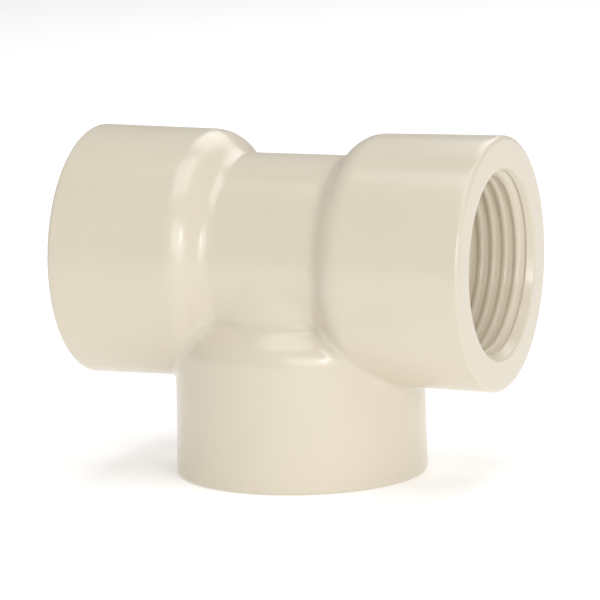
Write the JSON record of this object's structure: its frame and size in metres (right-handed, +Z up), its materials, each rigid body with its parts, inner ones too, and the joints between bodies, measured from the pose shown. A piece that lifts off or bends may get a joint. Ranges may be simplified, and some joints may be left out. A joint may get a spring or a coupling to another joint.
{
  "type": "pipe tee fitting",
  "caption": "Equal tee pipe fitting in cream plastic, with a female parallel pipe thread in each end of the run and in the branch.",
  "frame": {"origin": "centre of the branch mouth, on the flat face the tee stands on", "axes": "+X along the run towards the right port, +Y across the tee towards its back, +Z up, away from the branch mouth"},
  "size_m": [0.0622, 0.036, 0.0491],
  "materials": {
    "pvc": "satin gloss, moulded"
  },
  "bodies": {
    "root": {"run_barrel": "pvc", "branch_neck": "pvc", "left_shoulder": "pvc", "right_shoulder": "pvc", "branch_shoulder": "pvc", "left_hub": "pvc", "right_hub": "pvc", "branch_hub": "pvc"}
  },
  "joints": []
}
